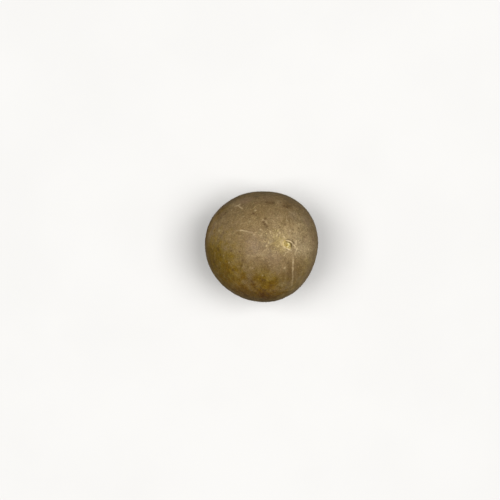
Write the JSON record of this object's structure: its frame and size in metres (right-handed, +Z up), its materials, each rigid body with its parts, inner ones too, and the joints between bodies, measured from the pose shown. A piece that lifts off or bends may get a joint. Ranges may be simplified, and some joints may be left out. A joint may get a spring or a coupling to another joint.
{
  "type": "monk fruit",
  "caption": "Whole dried monk fruit: a round brown fruit with a corky stalk scar, for bowls, plates and market displays.",
  "frame": {"origin": "centre of the small flat spot that the fruit rests on", "axes": "+Z up from the resting surface; the fruit's own axis runs from the blossom end below to the stalk scar above, leaning 25 degrees from +Z towards +X"},
  "size_m": [0.0607, 0.0595, 0.0634],
  "materials": {
    "dried_skin": "dried brown skin, satin, finely mottled with pale down",
    "cut_stalk": "dry straw-coloured fibres, matte"
  },
  "bodies": {
    "root": {"fruit": "dried_skin", "stalk_stub": "cut_stalk"}
  },
  "joints": []
}
